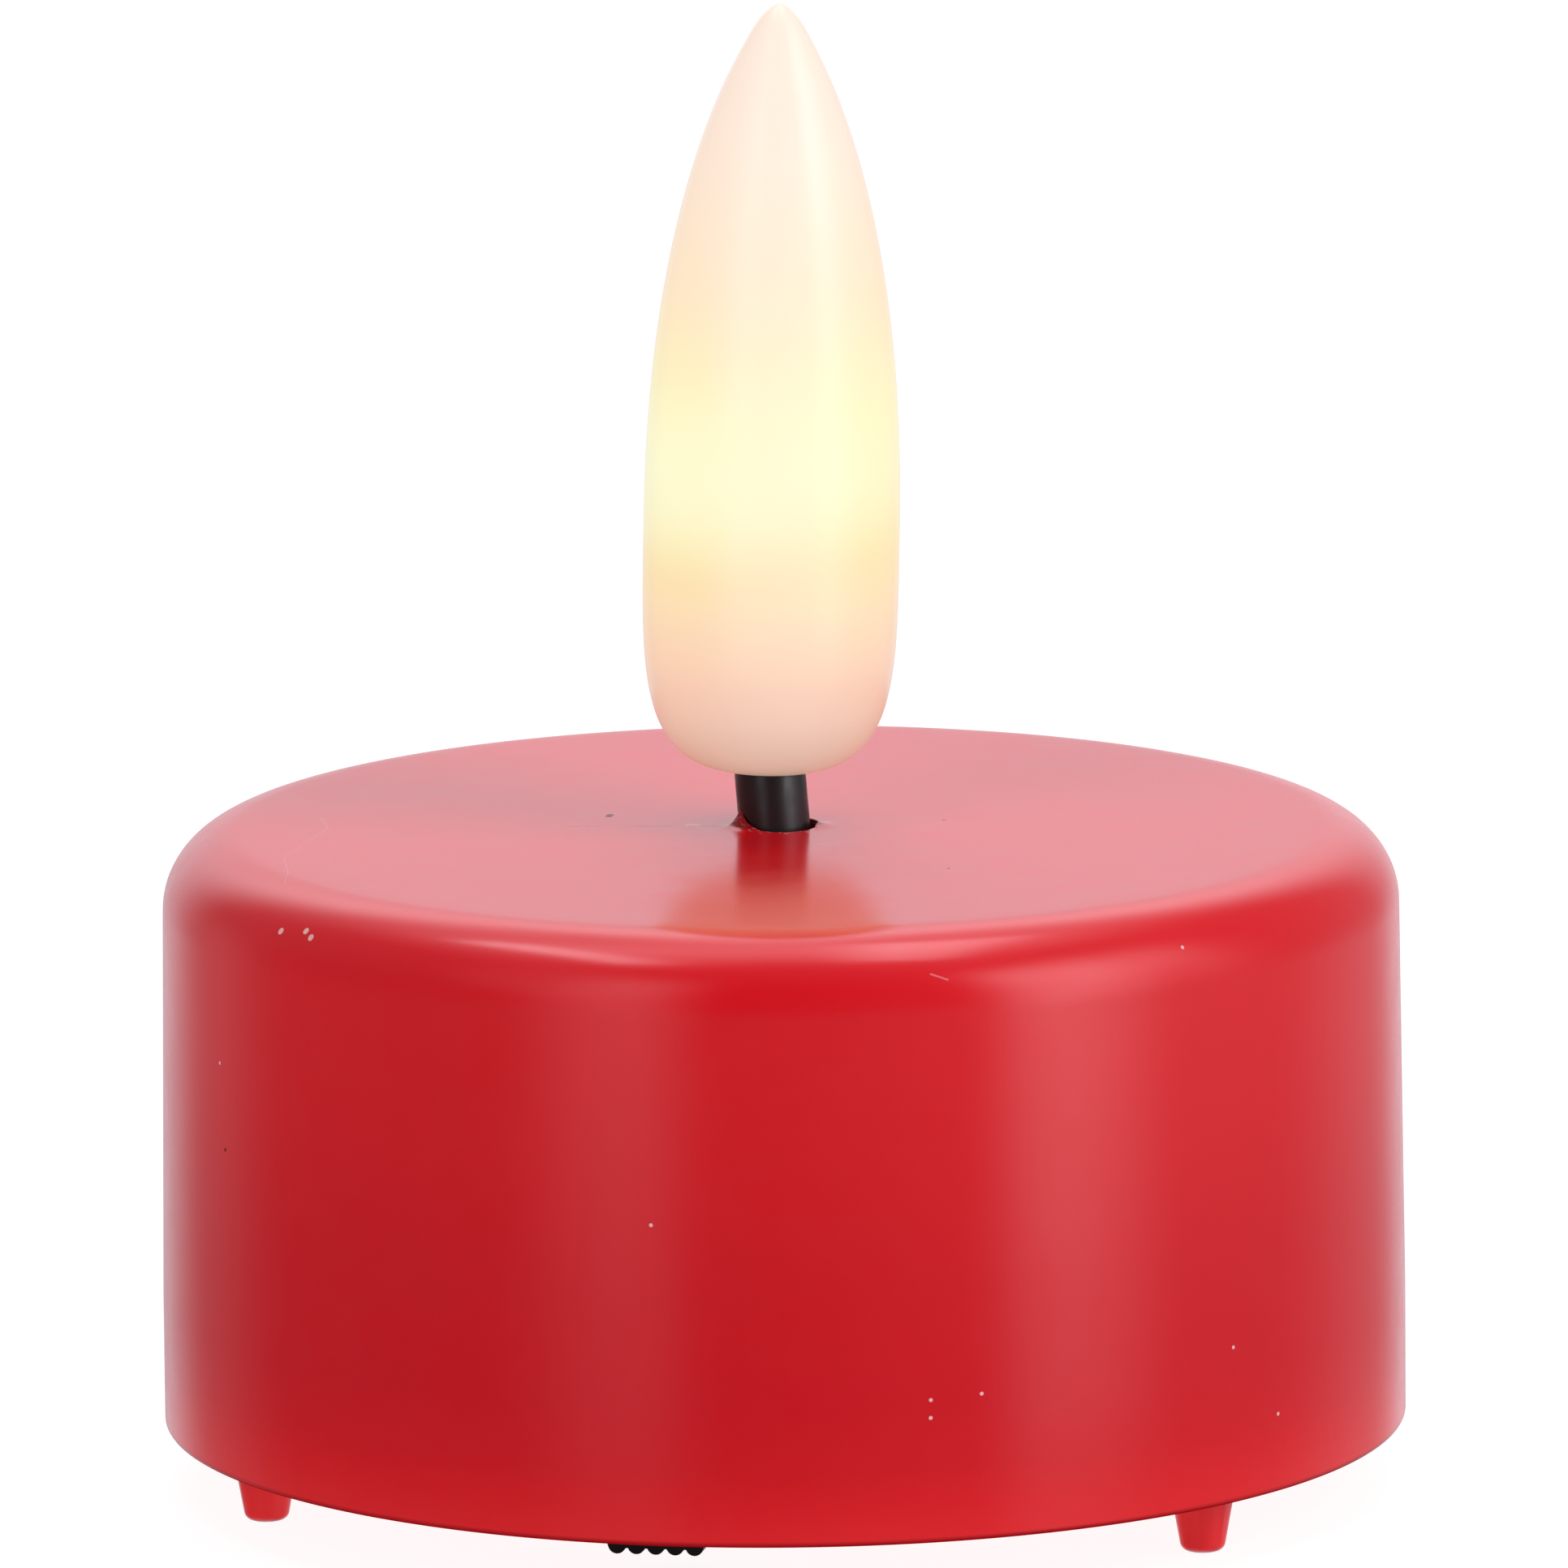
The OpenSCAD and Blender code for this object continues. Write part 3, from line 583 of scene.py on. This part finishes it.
EDGE_R = 2.4 * MM
BAND_H = 4 * MM
DRAFT = math.radians(0.6)
WALL = 1 * MM
RIM_ROUND = 0.15 * MM
HOLE_DEPTH = 0.9 * MM
TOP_R = RIM_R - (TOP_Z - RIM_Z - BAND_H) * math.tan(DRAFT)
LIP_REACH = 0.5 * MM

# Height of the torn lip round the hole, as stops of (angle in degrees, millimetres)
LIP = (
    (0, 0.11), (12, 0.07), (30, 0.0), (186, 0.0), (196, 0.12), (206, 0.56), (212, 0.50), (230, 0.20),
    (252, 0.03), (270, 0.0), (338, 0.0), (350, 0.09), (360, 0.11),
)


def lip_height(angle):
    """Height of the lip at an angle: a flap at the front left, and a low one at the right."""
    angle = math.degrees(angle)
    for (a, low), (b, high) in zip(LIP, LIP[1:]):
        if a <= angle <= b:
            return MM * (low + (high - low) * (angle - a) / (b - a))
    return 0.0


def body_shape(r, angle, z):
    """Raises the flat top into a torn lip close to the hole."""
    if z < TOP_Z - 0.2 * MM or r > HOLE_R + LIP_REACH:
        return r, angle, z
    near = 1 - (r - HOLE_R) / LIP_REACH
    lift = lip_height(angle) * near ** 2
    inward = 0.1 * lift + 0.12 * MM * near * max(0.0, math.cos(angle)) ** 4
    return r - inward, angle, z + lift


def make_body():
    hole = [(HOLE_R, TOP_Z - HOLE_DEPTH), (HOLE_R, TOP_Z - 0.25 * MM)]
    near_hole = [(HOLE_R + LIP_REACH * (i / 8) ** 1.5, TOP_Z) for i in range(9)]
    flat = [(r * MM, TOP_Z) for r in (2.2, 3.2, 5, 8, 11, 14, 15.8)]
    edge = arc((TOP_R - EDGE_R, TOP_Z - EDGE_R), EDGE_R, 90, 0, 20)
    edge_z = TOP_Z - EDGE_R
    side_h = edge_z - RIM_Z - BAND_H
    side = [(TOP_R + (RIM_R - TOP_R) * i / 6, edge_z - side_h * i / 6) for i in range(1, 7)]
    rim = arc((RIM_R - RIM_ROUND, RIM_Z + RIM_ROUND), RIM_ROUND, 0, -90, 4)
    inner_r = RIM_R - WALL
    inside = [
        (inner_r, RIM_Z),
        (inner_r, RIM_Z + BAND_H),
        *arc((TOP_R - EDGE_R, edge_z), EDGE_R - WALL, 0, 90, 8),
        (3 * MM, TOP_Z - WALL),
    ]
    outline = hole + near_hole + flat + edge + side + rim + inside
    points, faces = lathe(outline, 256, shape=body_shape)
    return make_piece("body", points, faces, "candle", "red_body", "outer_shell")


# ---------- the flame ----------

BELLY = 0.32


def flame_shape(t):
    """Radius at a share t of the flame's length, over its widest radius: a full foot and a long taper."""
    if t < BELLY:
        return max(0.0, 1 - ((BELLY - t) / BELLY) ** 4.1) ** 0.29
    up = (t - BELLY) / (1 - BELLY)
    near_tip = min(1.0, max(0.0, 10 * up - 9))
    blunt = 0.05 * near_tip ** 2 * (3 - 2 * near_tip)
    return max(0.0, 1 - up ** 2.2) ** (0.73 - blunt)


def make_flame():
    steps = 90
    outline = []
    for i in range(steps + 1):
        t = (1 - math.cos(math.pi * i / steps)) / 2  # closer together at both ends
        outline.append((FLAME_R * flame_shape(t), FLAME_LENGTH * t))
    hole_r = SLEEVE_R + 0.02 * MM
    hole = [(hole_r, 0.7 * MM), (hole_r, 0.12 * MM)]
    outline = hole + [p for p in outline if p[0] > 1.25 * SLEEVE_R or p[1] > FLAME_LENGTH / 2]
    points, faces = lathe(outline, 160, closed=False)
    points = leaned(points, FLAME_LEAN, FLAME_X, TOP_Z + FLAME_GAP)
    return make_piece("flame", points, faces, "candle", "flame", "flame_tip")


# ---------- the sleeve ----------


def make_sleeve():
    outline = [
        (SLEEVE_BORE_R, SLEEVE_FROM), (SLEEVE_R, SLEEVE_FROM),
        (SLEEVE_R, 0), (SLEEVE_R, SLEEVE_TO), (SLEEVE_BORE_R, SLEEVE_TO),
    ]
    points, faces = lathe(outline, 64)
    points = leaned(points, -SLEEVE_LEAN, SLEEVE_X, TOP_Z)
    return make_piece("sleeve", points, faces, "candle", "sleeve_black", "wick_sleeve")


# ---------- studio ----------


class Sky(Shader):
    """The world's shader: what the studio round the object looks like in its gloss.
    across, away and up are the parts of a direction, as the camera sees them."""

    def __init__(self):
        world = bpy.data.worlds.new("studio")
        bpy.context.scene.world = world
        world.use_nodes = True
        world.cycles.sampling_method = "NONE"
        world.cycles_visibility.diffuse = False
        self.tree = world.node_tree
        self.background = self.tree.nodes["Background"]
        turn = self.add("ShaderNodeVectorRotate", rotation_type="Z_AXIS")
        self.feed(turn.inputs["Vector"], self.add("ShaderNodeTexCoord").outputs["Generated"])
        turn.inputs["Angle"].default_value = -CAMERA_AZIMUTH
        self.across, self.away, self.up = self.parts(turn.outputs["Vector"])
        front = self.math("MULTIPLY", self.away, -1.0)
        self.azimuth = self.math("MULTIPLY", self.math("ARCTAN2", self.across, front), 180 / math.pi)
        self.elevation = self.math("MULTIPLY", self.math("ARCSINE", self.up), 180 / math.pi)
        self.total = 0.0

    def band(self, value, low, high, soft_low, soft_high):
        """1 between two values, fading to 0 over a soft stretch at each side."""
        rise = self.remap(value, low - soft_low / 2, low + soft_low / 2)
        fall = self.remap(value, high - soft_high / 2, high + soft_high / 2, 1.0, 0.0)
        return self.product(rise, fall)

    def shine(self, strength, *shares):
        self.total = self.math("ADD", self.total, self.product(strength, *shares))

    def window(self, azimuths, softness, heights, strength):
        """A light in front of the object, between two azimuths, brightest between two elevations."""
        self.shine(
            strength,
            self.band(self.azimuth, *azimuths, *softness),
            self.band(self.elevation, *heights, 44, 22),
        )

    def strip(self, centre, turn, half_length, half_width, soft, strength):
        """A strip light overhead. Its centre and sizes are sines of angles from straight up."""
        cos, sin = math.cos(math.radians(turn)), math.sin(math.radians(turn))
        x = self.math("SUBTRACT", self.across, centre[0])
        y = self.math("SUBTRACT", self.away, centre[1])
        along = self.math("ADD", self.product(x, cos), self.product(y, sin))
        beside = self.math("SUBTRACT", self.product(y, cos), self.product(x, sin))
        self.shine(
            strength,
            self.band(along, -half_length, half_length, soft, soft),
            self.band(beside, -half_width, half_width, soft, soft),
            self.math("GREATER_THAN", self.up, 0),
        )


def make_sky():
    """A dim room with a white backdrop that curves overhead, two strip lights and two windows."""
    sky = Sky()
    sky.background.inputs["Color"].default_value = (0.98, 0.99, 1.06, 1)
    sky.total = sky.remap(sky.across, -0.2, 0.9, 0.145, 0.42)
    backdrop = sky.remap(sky.away, -0.55, 0.30, 0.0, 2.6)
    bend = sky.band(sky.away, 0.25, 0.68, 0.35, 0.40)
    sky.shine(
        backdrop,
        sky.band(sky.across, -0.48, 0.36, 0.5, 0.5),
        sky.remap(sky.away, 0.68, 1.0, 1.0, 0.285),
        sky.remap(bend, 0.0, 1.0, 1.0, 0.58, smooth=False),
        sky.remap(sky.elevation, -16, 8, 0.68, 1.0),
    )
    sky.shine(0.9, sky.band(sky.across, -0.10, 0.08, 0.12, 0.12), sky.band(sky.away, 0.36, 0.72, 0.3, 0.2))
    sky.shine(0.27, sky.band(sky.azimuth, -134, -24, 16, 36), sky.remap(sky.elevation, -20, 45))
    sky.shine(0.2, sky.band(sky.azimuth, -20, 128, 30, 30), sky.band(sky.elevation, 46, 68, 24, 10))
    sky.window((-42, -20), (26, 16), (-18, 45), 1.10)
    sky.window((43, 66), (18, 30), (-14, 43), 3.1)
    sky.window((60, 90), (16, 22), (12, 42), 1.1)
    sky.window((60, 96), (20, 30), (-8, 50), 0.5)
    sky.window((-142, -116), (24, 24), (-30, 10), 0.24)
    sky.window((112, 165), (30, 20), (-40, -6), 0.2)
    sky.strip((-0.362, 0.0), -74, 0.26, 0.06, 0.09, 4.35)
    sky.strip((0.214, 0.07), -85, 0.28, 0.105, 0.10, 2.95)
    sky.feed(sky.background.inputs["Strength"], sky.total)


FLOOR_R = 4
FLOOR_CORNERS = 96


def make_floor():
    s = Shader("floor", roughness=0.9)
    s.set("Base Color", s.mix(s.noise(3, 2), (0.10, 0.10, 0.10), (0.12, 0.12, 0.12)))
    s.set("Emission Color", (1, 1, 1, 1))
    s.set("Emission Strength", 0.92)
    points = [(x, y, 0) for x, y in arc((0, 0), FLOOR_R, 0, 360, FLOOR_CORNERS)[:-1]]
    mesh = bpy.data.meshes.new("floor")
    mesh.from_pydata(points, [], [tuple(range(FLOOR_CORNERS))])
    mesh.materials.append(s.material)
    floor = bpy.data.objects.new("floor", mesh)
    bpy.context.scene.collection.objects.link(floor)
    floor.visible_glossy = False


def make_lamp(name, azimuth, elevation, distance, size, power):
    """A soft lamp that shapes the diffuse light only: its gloss is in the sky."""
    azimuth = CAMERA_AZIMUTH + math.radians(azimuth)
    elevation = math.radians(elevation)
    way = Vector((math.sin(azimuth) * math.cos(elevation), -math.cos(azimuth) * math.cos(elevation),
                  math.sin(elevation)))
    data = bpy.data.lights.new(name, "AREA")
    data.shape = "DISK"
    data.size = size
    data.energy = power
    lamp = bpy.data.objects.new(name, data)
    lamp.location = way * distance
    lamp.rotation_euler = (-way).to_track_quat("-Z", "Y").to_euler()
    lamp.visible_glossy = False
    lamp.visible_camera = False
    bpy.context.scene.collection.objects.link(lamp)


def make_studio():
    bpy.context.scene.view_settings.view_transform = "Standard"
    make_sky()
    make_floor()
    make_lamp("overhead_lamp", 170, 75, 0.9, 0.9, 4.5)
    make_lamp("key_lamp", 62, 34, 0.9, 0.6, 4.7)
    make_lamp("fill_lamp", -44, 34, 0.9, 0.6, 2.58)
    make_lamp("back_lamp", 180, 25, 0.9, 0.8, 1.7)
    # below the floor, which hides it, so that the base can be seen once the floor is hidden
    make_lamp("base_lamp", 20, -55, 0.9, 0.9, 3.4)


make_camera()
dress_cad_nodes()
make_body()
make_flame()
make_sleeve()
make_studio()
